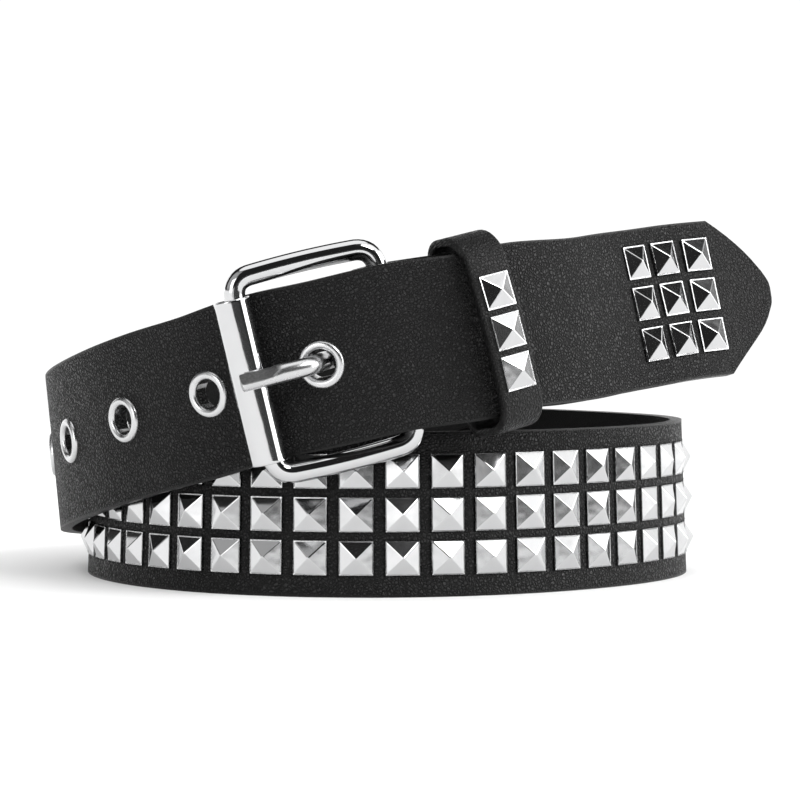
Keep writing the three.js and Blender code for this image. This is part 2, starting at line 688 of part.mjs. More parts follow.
// The belt stands on z = 0, centred over the origin
const extent = new THREE.Box3().setFromObject(coil, true);
const middle = extent.getCenter(new THREE.Vector3());
coil.position.set(-middle.x, -middle.y, -extent.min.z);

const group = new THREE.Group();
group.add(coil);

export default group;
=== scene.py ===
# %% [markdown]
# A studded belt, buckled and wound into a double coil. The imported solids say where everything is.
# This script gives the belt its looks: a leather strap made flat and then wound, pressed studs,
# rolled eyelets, a plated buckle, and the finishes of all of them.

# %% Load the frame
import math

import bmesh
import bpy
from mathutils import Matrix, Vector


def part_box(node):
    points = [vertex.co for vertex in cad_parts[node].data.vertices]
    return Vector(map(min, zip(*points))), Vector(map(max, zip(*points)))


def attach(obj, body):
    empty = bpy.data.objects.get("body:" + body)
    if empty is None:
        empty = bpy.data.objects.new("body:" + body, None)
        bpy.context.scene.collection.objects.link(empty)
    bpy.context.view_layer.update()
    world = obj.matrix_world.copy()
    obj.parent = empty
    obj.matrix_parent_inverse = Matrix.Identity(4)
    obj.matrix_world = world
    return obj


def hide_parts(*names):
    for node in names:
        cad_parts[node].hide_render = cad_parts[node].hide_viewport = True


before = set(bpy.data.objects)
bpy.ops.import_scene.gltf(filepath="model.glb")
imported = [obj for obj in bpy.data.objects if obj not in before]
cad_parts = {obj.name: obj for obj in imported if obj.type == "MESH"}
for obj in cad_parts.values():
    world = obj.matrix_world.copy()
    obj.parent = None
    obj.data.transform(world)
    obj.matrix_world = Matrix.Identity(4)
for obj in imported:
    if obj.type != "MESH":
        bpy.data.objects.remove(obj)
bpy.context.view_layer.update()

MM = 0.001

# %% [markdown]
# The strap is one long strip that bends round in space. It could be modelled where it lies, but
# holes, studs and rounded edges are far easier to make on a flat strip. So we keep the line that
# the strap follows, and later carry every flat point over to it. The sizes below are the solids'
# own.

# %% Sizes of the belt
STRAP_WIDTH = 38 * MM
STRAP_THICK = 3 * MM
HALF_WIDTH = STRAP_WIDTH / 2
HALF_THICK = STRAP_THICK / 2
COIL_RADIUS = 75 * MM
FLOOR_PRESS = 0.12 * MM
TIP_LENGTH = 15.2 * MM
LAYER_STEP = STRAP_THICK + 0.3 * MM
BAR_GAP = 0.4 * MM
FRAME_LENGTH = 38.2 * MM
FRAME_WIRE = 4.9 * MM
FRAME_HEIGHT = STRAP_WIDTH + 2 * (FRAME_WIRE + 1.5 * MM)
ROLLER_OUTER = 4.2 * MM
ROLLER_WALL = 0.5 * MM
ROLLER_LENGTH = FRAME_HEIGHT - 2 * (FRAME_WIRE + 1.5 * MM)
ROLLER_DROP = 0.6 * MM
STRAP_DROP = 0.5 * MM
KEEPER_WIDTH = 10.9 * MM
HEEL_U = FRAME_LENGTH / 2 - FRAME_WIRE / 2
FOLD_RADIUS = FRAME_WIRE / 2 + BAR_GAP + HALF_THICK
ROLLER_U = -HEEL_U - (ROLLER_OUTER - ROLLER_WALL - FRAME_WIRE / 2 - BAR_GAP)

# %% [markdown]
# The buckle and the keeper each hang on the strap in a plane of their own. A matrix holds such a
# place: its x runs along the strap to the right, its y inwards and its z across the strap. The
# middle of the roller's box says how far the whole coil was moved to be centred.

# %% Places of the buckle and the keeper


def holder(place, facing, tilt, lean):
    turn, radius, height = place
    angle = -math.radians(turn)
    middle = Vector((math.cos(angle), math.sin(angle), 0)) * radius * COIL_RADIUS
    middle.z = height * STRAP_WIDTH
    matrix = Matrix.Rotation(math.radians(facing), 4, "Z")
    matrix = matrix @ Matrix.Rotation(-math.radians(tilt), 4, "Y")
    matrix = matrix @ Matrix.Rotation(-math.radians(lean), 4, "X")
    return Matrix.Translation(middle) @ matrix


def box_middle(node):
    low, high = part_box(node)
    return (Vector(low) + Vector(high)) / 2


buckle = holder((98.25, 1.1493, 1.429), facing=9, tilt=13.4, lean=0)
keeper_hold = holder((73.2, 1.0965, 1.592), facing=34, tilt=12, lean=7)
SHIFT = box_middle("roller") - buckle @ Vector((ROLLER_U, 0, -ROLLER_DROP))
buckle = Matrix.Translation(SHIFT) @ buckle
keeper_hold = Matrix.Translation(SHIFT) @ keeper_hold
print("shift of the coil, mm:", [round(value / MM, 3) for value in SHIFT])

# %% [markdown]
# The line runs through the strap's mid thickness and mid width. Its rows give an angle clockwise
# from the right hand side in degrees, a share of the coil's radius, the height of the bottom edge
# as a share of the strap's width, and the lean of the top edge inwards in degrees.

# %% Tables of the strap's line
FREE_END = [
    (11.6, 1.288, 1.342, 18.2), (18.1, 1.141, 1.314, 16.1), (25.4, 1.058, 1.285, 14.3),
    (34.9, 1.009, 1.245, 12.5), (45.1, 1.008, 1.21, 10.3), (54.1, 1.04, 1.176, 8.2),
]
TWO_TURNS = [
    (118.9, 1.12, 0.71, -6), (131, 1.087, 0.607, -5), (146.2, 1.072, 0.478, -5),
    (165.6, 1.069, 0.342, -5.6), (182, 1.074, 0.255, -5.5), (200, 1.08, 0.185, -4.5),
    (220, 1.085, 0.11, -3), (240, 1.085, 0.045, -1.5), (258, 1.08, 0.008, 0),
    (274, 1.07, 0, 1), (290, 1.05, 0, 2), (304, 1.012, 0, 2), (318, 0.977, 0, 2),
    (332, 0.97, 0, 2), (345, 0.981, 0, 2), (360, 0.988, 0, 2), (375, 0.984, 0, 2),
    (390, 0.975, 0, 2), (405, 0.973, 0, 2), (420, 0.988, 0, 2), (435, 1.011, 0, 2),
    (450, 1.03, 0, 2), (465, 1.032, 0, 2), (480, 1.015, 0, 2), (495, 0.988, 0, 2),
    (510, 0.964, 0, 2), (525, 0.951, 0, 2), (540, 0.95, 0.003, 2), (556, 0.955, 0.04, 2),
    (575, 0.965, 0.185, 2), (600, 0.978, 0.42, 1), (625, 0.98, 0.66, 0),
    (650, 0.972, 0.9, 0), (670, 0.962, 1.075, 0), (690, 0.955, 1.195, 1),
    (708, 0.955, 1.25, 3), (722, 0.952, 1.255, 6), (737, 0.94, 1.245, 9.5),
    (752, 0.93, 1.22, 11), (766, 0.937, 1.183, 10.5), (776, 0.985, 1.155, 8.5),
]
CROSSING_ALONG, CROSSING_OUT = 0.475, 2.2 * MM
TAB_PAST_KEEPER, TAB_RISE, TAB_SAG = 11.5 * MM, 0.9 * MM, 2 * MM


def table_point(row):
    turn, radius, lift, lean = row
    angle, lean = -math.radians(turn), math.radians(lean)
    outward = Vector((math.cos(angle), math.sin(angle), 0))
    point = outward * radius * COIL_RADIUS
    point.z = lift * STRAP_WIDTH + HALF_WIDTH * math.cos(lean) - FLOOR_PRESS
    across = outward * -math.sin(lean)
    across.z = math.cos(lean)
    return point + SHIFT, across


def held_point(place, along, out, rise):
    across = place.to_3x3() @ Vector((0, 0, 1))
    return place @ Vector((along, -out, rise)), across.normalized()


def in_buckle(along, out):
    return held_point(buckle, along, out, -STRAP_DROP)


def in_keeper(along, out, rise=0.0):
    return held_point(keeper_hold, along, out, rise)


def along_buckle(share):
    return -HEEL_U + 2 * HEEL_U * share


def fold_points():
    angles = [math.radians(90 + 22.5 * step) for step in range(9)]
    return [in_buckle(HEEL_U + FOLD_RADIUS * math.cos(angle), FOLD_RADIUS * math.sin(angle))
            for angle in angles]


# %% Control points from the pointed end to the folded end
half_keeper = KEEPER_WIDTH / 2
behind_roller = ROLLER_OUTER + BAR_GAP + HALF_THICK
crossing_u = along_buckle(CROSSING_ALONG)
crossing_slope = math.atan2(CROSSING_OUT + behind_roller, crossing_u - ROLLER_U)
crossing_point = in_buckle(crossing_u, CROSSING_OUT)
roller_point = in_buckle(ROLLER_U + behind_roller * math.sin(crossing_slope),
                         -behind_roller * math.cos(crossing_slope))
keeper_entry = in_keeper(half_keeper, 0)
fold = fold_points()
controls = [
    *map(table_point, FREE_END),
    in_keeper(half_keeper, LAYER_STEP),
    in_keeper(-half_keeper, LAYER_STEP),
    in_buckle(HEEL_U, FOLD_RADIUS + LAYER_STEP),
    crossing_point,
    roller_point,
    *map(table_point, TWO_TURNS),
    keeper_entry,
    in_keeper(-half_keeper, 0),
    *fold,
    in_keeper(-half_keeper, -LAYER_STEP, TAB_RISE),
    in_keeper(half_keeper + TAB_PAST_KEEPER, -LAYER_STEP, TAB_RISE - TAB_SAG),
]
print("control points:", len(controls))

# %% [markdown]
# A centripetal Catmull-Rom curve passes through all the points and doesn't overshoot where they lie
# close together, as they do in the fold. We sample it finely once and measure the distance from the
# pointed end, so that any place on the flat strap can be found on the wound one.

# %% The strap's line
SAMPLES_PER_SPAN = 40


def span_slopes(p0, p1, p2, p3):
    first, middle, last = ((b - a).length ** 0.5 for a, b in ((p0, p1), (p1, p2), (p2, p3)))
    into = (p1 - p0) / first - (p2 - p0) / (first + middle) + (p2 - p1) / middle
    out_of = (p2 - p1) / middle - (p3 - p1) / (middle + last) + (p3 - p2) / last
    return into * middle, out_of * middle


def span_point(p1, p2, slopes, share):
    into, out_of = slopes
    square, cube = share ** 2, share ** 3
    return (p1 * (2 * cube - 3 * square + 1) + into * (cube - 2 * square + share)
            + p2 * (3 * square - 2 * cube) + out_of * (cube - square))


def sample_line(points):
    places = [place for place, _ in points]
    places = [2 * places[0] - places[1], *places, 2 * places[-1] - places[-2]]
    found = []
    for span in range(len(points) - 1):
        slopes = span_slopes(*places[span:span + 4])
        steps = SAMPLES_PER_SPAN + (span == len(points) - 2)
        for step in range(steps):
            share = step / SAMPLES_PER_SPAN
            place = span_point(places[span + 1], places[span + 2], slopes, share)
            across = points[span][1].lerp(points[span + 1][1], share)
            distance = found[-1][2] + (place - found[-1][0]).length if found else 0.0
            found.append((place, across, distance))
    return found


samples = sample_line(controls)
strap_length = samples[-1][2]


def distance_of(control):
    return samples[controls.index(control) * SAMPLES_PER_SPAN][2]


print("strap length, mm:", round(strap_length / MM, 1))

# %% Places along the line
TWIST_SMOOTHING = 5 * MM
sample_distances = [sample[2] for sample in samples]


def sample_at(distance):
    wanted = min(max(distance, 0.0), strap_length)
    low, high = 0, len(samples) - 1
    while high - low > 1:
        middle = (low + high) // 2
        if sample_distances[middle] <= wanted:
            low = middle
        else:
            high = middle
    share = (wanted - sample_distances[low]) / (sample_distances[high] - sample_distances[low])
    return low, share


def across_at(distance):
    low, share = sample_at(distance)
    return samples[low][1].lerp(samples[low + 1][1], share)


def station(distance):
    low, share = sample_at(distance)
    point = samples[low][0].lerp(samples[low + 1][0], share)
    before, after = samples[max(low - 1, 0)][0], samples[min(low + 2, len(samples) - 1)][0]
    tangent = (after - before).normalized()
    across = (across_at(distance - TWIST_SMOOTHING) + across_at(distance) * 2
              + across_at(distance + TWIST_SMOOTHING))
    across = (across - tangent * across.dot(tangent)).normalized()
    return point, tangent, across, across.cross(tangent)


def wound(flat):
    """Where a point of the flat strap lies on the wound one: x is the distance from the pointed
    end, y is across the strap and z is outwards."""
    point, tangent, across, outward = station(flat.x)
    overshoot = flat.x - min(max(flat.x, 0.0), strap_length)
    place = point + tangent * overshoot + across * flat.y + outward * flat.z
    place.z = max(place.z, 0.0)
    return place


def facet_place(distance, length):
    """A matrix in the middle of a short stretch: x along the strap, y across it, z outwards."""
    before, after = station(distance - length / 2), station(distance + length / 2)
    tangent = (after[0] - before[0]).normalized()
    across = before[2] + after[2]
    across = (across - tangent * across.dot(tangent)).normalized()
    matrix = Matrix((-tangent, across, across.cross(tangent))).transposed().to_4x4()
    return Matrix.Translation((before[0] + after[0]) / 2) @ matrix


# %% [markdown]
# Studs and eyelets sit at fixed distances from the pointed end: three columns near it, a row of
# eyelets that starts where the prong comes through, and then the long field of three rows.

# %% Where studs and eyelets sit
STUD_SIDE = 7.9 * MM
STUD_PITCH = 10.36 * MM
ROW_PITCH = 9.93 * MM
TIP_STUD_PITCH = 10.45 * MM
TIP_STUD_RISE = 0.95 * MM
TIP_MARGIN = 0.7 * MM
EYELET_RIM = 5.5 * MM
EYELET_PITCH = 29.6 * MM
tip_facet = STUD_SIDE + 0.4 * MM
first_column = TIP_LENGTH + TIP_MARGIN + tip_facet / 2
tip_columns = [first_column + index * TIP_STUD_PITCH for index in range(3)]
eyelet_facet = 2 * (EYELET_RIM + 0.3 * MM)
eyelet_distances = [distance_of(crossing_point) + index * EYELET_PITCH for index in range(8)]
field_start = eyelet_distances[-1] + 28.7 * MM
field_room = distance_of(keeper_entry) - 28 * MM - field_start
field_columns = [field_start + (index + 0.5) * STUD_PITCH
                 for index in range(int(field_room / STUD_PITCH))]
ROWS = (-ROW_PITCH, 0.0, ROW_PITCH)
print("eyelets:", len(eyelet_distances), " stud columns:", len(field_columns))

# %% [markdown]
# A finish is a tree of nodes. Arithmetic on surfaces is easier to read as Python than as boxes and
# wires, so a small class wraps one socket: the usual signs then add Math nodes.

# %% Sockets that can be reckoned with


class Wire:
    def __init__(self, board, socket):
        self.board, self.socket = board, socket

    def math(self, operation, *values, clamp=False):
        node = self.board.add("ShaderNodeMath", {"operation": operation, "use_clamp": clamp})
        for entry, value in zip(node.inputs, values):
            self.board.feed(entry, value)
        return Wire(self.board, node.outputs[0])

    def __add__(self, other):
        return self.math("ADD", self, other)

    def __sub__(self, other):
        return self.math("SUBTRACT", self, other)

    def __rsub__(self, other):
        return self.math("SUBTRACT", other, self)

    def __mul__(self, other):
        return self.math("MULTIPLY", self, other)

    def __abs__(self):
        return self.math("ABSOLUTE", self)

    __radd__ = __add__
    __rmul__ = __mul__

    def between(self, low, high):
        """0 below low, 1 above high and a soft step from one to the other."""
        node = self.board.add("ShaderNodeMapRange", {"interpolation_type": "SMOOTHSTEP"},
                              {"Value": self, "From Min": low, "From Max": high})
        return Wire(self.board, node.outputs[0])


class Board:
    def __init__(self, tree):
        self.tree = tree
        tree.nodes.clear()

    def feed(self, entry, value):
        if isinstance(value, Wire):
            self.tree.links.new(value.socket, entry)
        else:
            entry.default_value = value

    def add(self, kind, settings=None, sockets=None):
        node = self.tree.nodes.new(kind)
        for name, value in (settings or {}).items():
            setattr(node, name, value)
        for name, value in (sockets or {}).items():
            self.feed(node.inputs[name], value)
        return node

    def wire(self, kind, output, settings=None, sockets=None):
        return Wire(self, self.add(kind, settings, sockets).outputs[output])

    def colours(self, share, dark, light):
        node = self.add("ShaderNodeMix", {"data_type": "RGBA"})
        ends = [tint if isinstance(tint, Wire) else (*tint, 1) for tint in (dark, light)]
        for entry, value in zip((node.inputs[0], node.inputs[6], node.inputs[7]), (share, *ends)):
            self.feed(entry, value)
        return Wire(self, node.outputs[2])

    def noise(self, vector, scale, detail=3.0, roughness=0.5, output="Fac"):
        return self.wire("ShaderNodeTexNoise", output, {"noise_dimensions": "3D"},
                         {"Vector": vector, "Scale": scale, "Detail": detail,
                          "Roughness": roughness})

    def bump(self, height, strength, distance):
        return self.wire("ShaderNodeBump", "Normal", None,
                         {"Height": height, "Strength": strength, "Distance": distance})

    def surface(self, sockets):
        shader = self.add("ShaderNodeBsdfPrincipled", None, sockets)
        output = self.add("ShaderNodeOutputMaterial")
        self.tree.links.new(shader.outputs[0], output.inputs[0])


def new_board(name):
    material = bpy.data.materials.new(name)
    material.use_nodes = True
    return material, Board(material.node_tree)


# %% [markdown]
# The strap is coated black leather board. Its face has a fine pebbled grain, its painted edges are
# smooth and a little glossier, and its back is a plain matt lining. The grain comes from cells: the
# creases lie where two cells meet, and are duller and lower than the pebbles. Its colour also holds
# painted light: painted shade makes the creases darker and a painted highlight makes the pebble
# tops lighter. The pattern reads the flat position of each point, which every leather piece carries
# as an attribute, so the grain follows the strap round the coil and has no seam. It fades towards
# the pointed end, where the real leather is pressed smoother.

# %% Leather
GRAIN_PER_METRE = 1250.0
GRAIN_DEPTH = 0.5 * MM
SMOOTH_UNTIL, GRAINED_FROM = 12 * MM, 40 * MM
# The crease colour is leather black darkened as painted shade; the pebble colour is leather black
# lightened as a painted highlight.
CREASE_BLACK_PAINTED_SHADE, PEBBLE_BLACK_PAINTED_HIGHLIGHT = (0.001, 0.001, 0.001), (0.009, 0.009, 0.0092)
EDGE_FROM, EDGE_TO = 18.1 * MM, 18.75 * MM


def leather_finish(name, edge_from, edge_to, back_level):
    material, board = new_board(name)
    flat = board.wire("ShaderNodeAttribute", "Vector", {"attribute_name": "flat"})
    split = board.add("ShaderNodeSeparateXYZ", None, {"Vector": flat})
    along, across, out = (Wire(board, socket) for socket in split.outputs)
    edge = abs(across).between(edge_from, edge_to)
    back = 1 - out.between(back_level, back_level + 0.2 * MM)
    warp = board.noise(flat, 900.0, detail=1.0, output="Color")
    bent = board.wire("ShaderNodeVectorMath", "Vector", {"operation": "MULTIPLY_ADD"},
                      {0: warp, 1: (0.0003, 0.0003, 0.0003), 2: flat})
    border = board.wire("ShaderNodeTexVoronoi", "Distance", {"feature": "DISTANCE_TO_EDGE"},
                        {"Vector": bent, "Scale": GRAIN_PER_METRE})
    pebbles = border.between(0.0, 0.3)
    creases = board.noise(flat, 3800.0, detail=2.0)
    waves = board.noise(flat, 70.0, detail=2.0)
    face = (1 - edge) * (1 - back) * (0.4 + 0.6 * along.between(SMOOTH_UNTIL, GRAINED_FROM))
    height = pebbles * face + creases * (0.25 + back * 0.6)
    # Painted shade darkens the creases and a painted highlight lightens the pebble tops.
    colour = board.colours(pebbles * face * 0.9 + waves * 0.1, CREASE_BLACK_PAINTED_SHADE, PEBBLE_BLACK_PAINTED_HIGHLIGHT)
    rough = 0.7 - pebbles * face * 0.4 - (1 - face) * 0.3 + waves * 0.04 + back * 0.2
    board.surface({
        "Base Color": colour, "Roughness": rough, "Specular IOR Level": 0.28,
        "Normal": board.bump(height, 1.0, GRAIN_DEPTH),
    })
    return material


strap_leather = leather_finish("strap_leather", EDGE_FROM, EDGE_TO, -1.45 * MM)
keeper_leather = leather_finish("keeper_leather", 5.2 * MM, 5.7 * MM, -0.9 * MM)

# %% [markdown]
# The metal is bright plating. A mirror finish alone looks computed, so the roughness drifts a
# little over the surface and a very low swell keeps the reflections from being ruled straight. The
# prong and the eyelets are duller, and where a piece carries the attribute worn, as the prong's tip
# does, the plating turns dark, rough and scratched.

# %% Plated metal
DULLER_PLATING, BRIGHTER_PLATING = (0.56, 0.565, 0.57), (0.62, 0.62, 0.625)
WORN_METAL = (0.06, 0.06, 0.06)


def plated_finish(name, swell_scale, swell_height, rough):
    material, board = new_board(name)
    place = board.wire("ShaderNodeTexCoord", "Object")
    worn = board.wire("ShaderNodeAttribute", "Fac", {"attribute_name": "worn"})
    drift = board.noise(place, 220.0, detail=3.0)
    swell = board.noise(place, swell_scale, detail=1.0)
    scratches = board.noise(place, 1800.0, detail=2.0)
    plating = board.colours(drift, DULLER_PLATING, BRIGHTER_PLATING)
    board.surface({
        "Base Color": board.colours(worn * (0.75 + scratches * 0.25), plating, WORN_METAL),
        "Metallic": 1.0, "Roughness": rough + drift * 0.06 + worn * 0.25,
        "Normal": board.bump(swell + scratches * worn * 6, 0.5, swell_height),
    })
    return material


bright_plating = plated_finish("bright_plating", 160.0, 0.05 * MM, 0.05)
stud_plating = plated_finish("stud_plating", 260.0, 0.08 * MM, 0.09)
satin_plating = plated_finish("satin_plating", 420.0, 0.05 * MM, 0.24)

# %% [markdown]
# Every piece is finished the same way: its faces are turned outwards, its edges marked sharp or
# smooth by their angle, and it rides on the belt's one body.

# %% From bmesh to piece


def make_piece(bm, name, material, replaced=(), sharp_from=35):
    bmesh.ops.recalc_face_normals(bm, faces=bm.faces)
    mesh = bpy.data.meshes.new(name)
    bm.to_mesh(mesh)
    bm.free()
    mesh.shade_smooth()
    mesh.set_sharp_from_angle(angle=math.radians(sharp_from))
    mesh.materials.append(material)
    piece = bpy.data.objects.new(name, mesh)
    bpy.context.scene.collection.objects.link(piece)
    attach(piece, "root")
    if replaced:
        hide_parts(*replaced)
    triangles = sum(len(face.vertices) - 2 for face in mesh.polygons)
    print(f"{name}: {triangles} triangles")
    return piece


# %% [markdown]
# The flat strap starts as a grid. Its lines are moved so that they fall on the edges of every stud
# bed and eyelet hole, and lie close together in the pointed end and in the fold round the bar.

# %% Lines of the grid along and across the strap
BED_HALF = STUD_SIDE / 2 + 0.32 * MM
HOLE_HALF = 2.85 * MM
LONGEST_STEP = 3 * MM
FOLD_STEP = 1 * MM
TIP_SHARES = (0, 0.012, 0.035, 0.07, 0.12, 0.19, 0.28, 0.39, 0.52, 0.67, 0.83, 1)
fold_start, fold_end = distance_of(fold[0]), distance_of(fold[-1])


def lines_across():
    upper = [ROW_PITCH - BED_HALF, ROW_PITCH - HOLE_HALF / 2, ROW_PITCH + HOLE_HALF / 2,
             ROW_PITCH + BED_HALF, HALF_WIDTH - 2.2 * MM, HALF_WIDTH - 1 * MM, HALF_WIDTH]
    inner = [HOLE_HALF, BED_HALF]
    positive = inner + upper
    return [-value for value in reversed(positive)] + positive


def lines_along():
    fixed = [share * TIP_LENGTH for share in TIP_SHARES]
    for middle in tip_columns + field_columns:
        fixed += [middle - BED_HALF, middle + BED_HALF]
    for middle in eyelet_distances:
        fixed += [middle - HOLE_HALF, middle + HOLE_HALF]
    slot_reach = 3.4 * MM
    fixed += [fold_start - slot_reach, fold_end + slot_reach, strap_length]
    fixed.sort()
    lines = [fixed[0]]
    for target in fixed[1:]:
        gap = target - lines[-1]
        if gap < 0.02 * MM:
            continue
        in_fold = fold_start - 2 * slot_reach < target < fold_end + 2 * slot_reach
        count = math.ceil(gap / (FOLD_STEP if in_fold else LONGEST_STEP) - 1e-6)
        start = lines[-1]
        lines += [start + gap * (step + 1) / count for step in range(count)]
    return lines


along_lines, across_lines = lines_along(), lines_across()
print("grid lines:", len(along_lines), "by", len(across_lines))

# %% The flat strap
TIP_OUTLINE = [(0, 0.08, 0.05), (0.06, 0.22, 0.2), (0.21, 0.39, 0.41), (0.46, 0.62, 0.62),
               (0.76, 0.84, 0.84), (1, 1, 1)]


def half_width_share(distance, side):
    """The pointed end's share of the half width, above (side > 0) or below the middle line."""
    root = math.sqrt(max(distance, 0.0) / TIP_LENGTH)
    if root >= 1:
        return 1.0
    rows = [(math.sqrt(along), above if side > 0 else below) for along, above, below in TIP_OUTLINE]
    low, high = next(pair for pair in zip(rows, rows[1:]) if pair[1][0] > root)
    share = (root - low[0]) / (high[0] - low[0])
    return low[1] + (high[1] - low[1]) * share


def lay_grid(bm):
    columns, rows = len(along_lines) - 1, len(across_lines) - 1
    bmesh.ops.create_grid(bm, x_segments=columns, y_segments=rows, size=0.5)
    last_tip = tip_columns[-1] + BED_HALF
    for vertex in bm.verts:
        distance = along_lines[round((vertex.co.x + 0.5) * columns)]
        across = across_lines[round((vertex.co.y + 0.5) * rows)]
        if distance <= last_tip + 0.1 * MM and abs(across) < HALF_WIDTH - 3 * MM:
            across += TIP_STUD_RISE
        vertex.co = (distance, across * half_width_share(distance, across), HALF_THICK)


strap = bmesh.new()
lay_grid(strap)
print("flat strap:", len(strap.faces), "faces")

# %% Holes for the eyelets and the prong's slot


def in_slot(middle):
    reach = 3.4 * MM
    return fold_start - reach < middle.x < fold_end + reach and abs(middle.y) < HOLE_HALF


def in_eyelet(middle):
    near = min(abs(middle.x - distance) for distance in eyelet_distances)
    return near < HOLE_HALF and abs(middle.y) < HOLE_HALF


cut = [face for face in strap.faces
       if in_slot(face.calc_center_median()) or in_eyelet(face.calc_center_median())]
bmesh.ops.delete(strap, geom=cut, context="FACES")
print("faces cut out:", len(cut))

# %% [markdown]
# Solidify gives the strip its thickness and closes the walls of its holes. Then the long edges are
# rounded with a bevel, as the painted edge of a belt is.

# %% Thickness and rounded edges
bmesh.ops.solidify(strap, geom=strap.faces, thickness=STRAP_THICK)
levels = [vertex.co.z for vertex in strap.verts]
print("levels, mm:", round(min(levels) / MM, 2), round(max(levels) / MM, 2))
for vertex in strap.verts:
    vertex.co.z -= (min(levels) + max(levels)) / 2


def on_outline(edge):
    middle = (edge.verts[0].co + edge.verts[1].co) / 2
    if len(edge.link_faces) != 2 or edge.calc_face_angle(0) < math.radians(60):
        return False
    if abs(edge.verts[0].co.z - edge.verts[1].co.z) > STRAP_THICK / 2:
        return False
    half = HALF_WIDTH * half_width_share(middle.x, middle.y)
    return (abs(middle.y) > half - 0.6 * MM or middle.x < 0.01 * MM
            or middle.x > strap_length - 0.01 * MM or middle.x < TIP_LENGTH * 1.01)


bmesh.ops.bevel(strap, geom=[edge for edge in strap.edges if on_outline(edge)], offset=0.8 * MM,
                segments=3, profile=0.5, affect="EDGES", material=-1, clamp_overlap=True)
print("strap with rounded edges:", len(strap.faces), "faces")

# %% [markdown]
# Each stud is pressed into the leather, which leaves a narrow groove round it. An inset of each bed
# with a negative depth makes that groove.

# %% Pressed stud beds
GROOVE_WIDTH, GROOVE_DEPTH = 0.4 * MM, 0.4 * MM
bed_faces = {}
for face in strap.faces:
    middle = face.calc_center_median()
    if middle.z < HALF_THICK - 0.1 * MM:
        continue
    for columns, rise in ((tip_columns, TIP_STUD_RISE), (field_columns, 0.0)):
        column = min(columns, key=lambda value: abs(value - middle.x))
        row = min(ROWS, key=lambda value: abs(value + rise - middle.y))
        if abs(column - middle.x) < BED_HALF and abs(row + rise - middle.y) < BED_HALF:
            bed_faces.setdefault((round(column / MM, 2), round(row / MM, 2)), []).append(face)
beds = [face for faces in bed_faces.values() for face in faces]
bmesh.ops.inset_region(strap, faces=beds, thickness=GROOVE_WIDTH, depth=-GROOVE_DEPTH,
                       use_boundary=True, use_even_offset=True)
print("stud beds:", len(bed_faces))

# %% Wind the strap
flat_layer = strap.verts.layers.float_vector.new("flat")
for vertex in strap.verts:
    vertex[flat_layer] = vertex.co
    vertex.co = wound(vertex.co)
make_piece(strap, "strap_leather", strap_leather, ["strap"], sharp_from=50)

# %% [markdown]
# A pyramid stud is a thin cap pressed from sheet metal, so its ridges are softly rounded and a
# narrow ledge runs round its foot. We make one from a four-sided cone, extrude its base outwards
# for the ledge and down for the rim, bevel its edges, and set copies of it at every place.

# %% One stud
STUD_HEIGHT, STUD_RIM, STUD_LEDGE = 2.4 * MM, 0.5 * MM, 0.3 * MM
RIDGE_ROUND = 0.16 * MM


def stud_template():
    bm = bmesh.new()
    height, narrow = STUD_HEIGHT - STUD_RIM, STUD_SIDE - 2 * STUD_LEDGE
    bmesh.ops.create_cone(bm, cap_ends=True, segments=4, radius1=narrow / math.sqrt(2),
                          radius2=0.0, depth=height)
    bmesh.ops.remove_doubles(bm, verts=bm.verts, dist=0.001 * MM)
    bmesh.ops.rotate(bm, verts=bm.verts, cent=(0, 0, 0),
                     matrix=Matrix.Rotation(math.pi / 4, 3, "Z"))
    bmesh.ops.translate(bm, verts=bm.verts, vec=(0, 0, STUD_RIM + height / 2))
    wider = STUD_SIDE / narrow
    for scale, drop in (((wider, wider, 1), 0), ((1, 1, 1), -STUD_RIM - GROOVE_DEPTH)):
        base = [face for face in bm.faces if face.normal.z < -0.9]
        grown = bmesh.ops.extrude_face_region(bm, geom=base)
        low = [item for item in grown["geom"] if isinstance(item, bmesh.types.BMVert)]
        bmesh.ops.scale(bm, verts=low, vec=scale)
        bmesh.ops.translate(bm, verts=low, vec=(0, 0, drop))
        bm.normal_update()
    bmesh.ops.recalc_face_normals(bm, faces=bm.faces)
    soft = [edge for edge in bm.edges
            if max(vertex.co.z for vertex in edge.verts) > STUD_RIM / 2]
    bmesh.ops.bevel(bm, geom=soft, offset=RIDGE_ROUND, segments=2, profile=0.5, affect="EDGES",
                    material=-1, clamp_overlap=True)
    mesh = bpy.data.meshes.new("stud_template")
    bm.to_mesh(mesh)
    bm.free()
    return mesh


stud_mesh = stud_template()
print("one stud:", len(stud_mesh.polygons), "faces")


def set_copies(mesh, places):
    bm = bmesh.new()
    for place in places:
        before = len(bm.verts)
        bm.from_mesh(mesh)
        bm.verts.ensure_lookup_table()
        bmesh.ops.transform(bm, matrix=place, verts=bm.verts[before:])
    return bm


# %% All the studs
def stud_places(columns, length, rise):
    return [facet_place(column, length) @ Matrix.Translation((0, row + rise, HALF_THICK))
            for column in columns for row in ROWS]


make_piece(set_copies(stud_mesh, stud_places(field_columns, STUD_PITCH, 0.0)),
           "field_studs", stud_plating, sharp_from=6)
make_piece(set_copies(stud_mesh, stud_places(tip_columns, tip_facet, TIP_STUD_RISE)),
           "tip_studs", stud_plating,
           [f"tip_stud_{number}" for number in range(1, 10)], sharp_from=6)

# %% [markdown]
# An eyelet is a short tube whose front end is rolled over into a round rim and whose back end is
# turned flat against the lining. Its section is drawn once and spun round the hole.

# %% Eyelets
EYELET_BORE, EYELET_WALL, EYELET_PROUD = 3.4 * MM, 0.4 * MM, 0.95 * MM


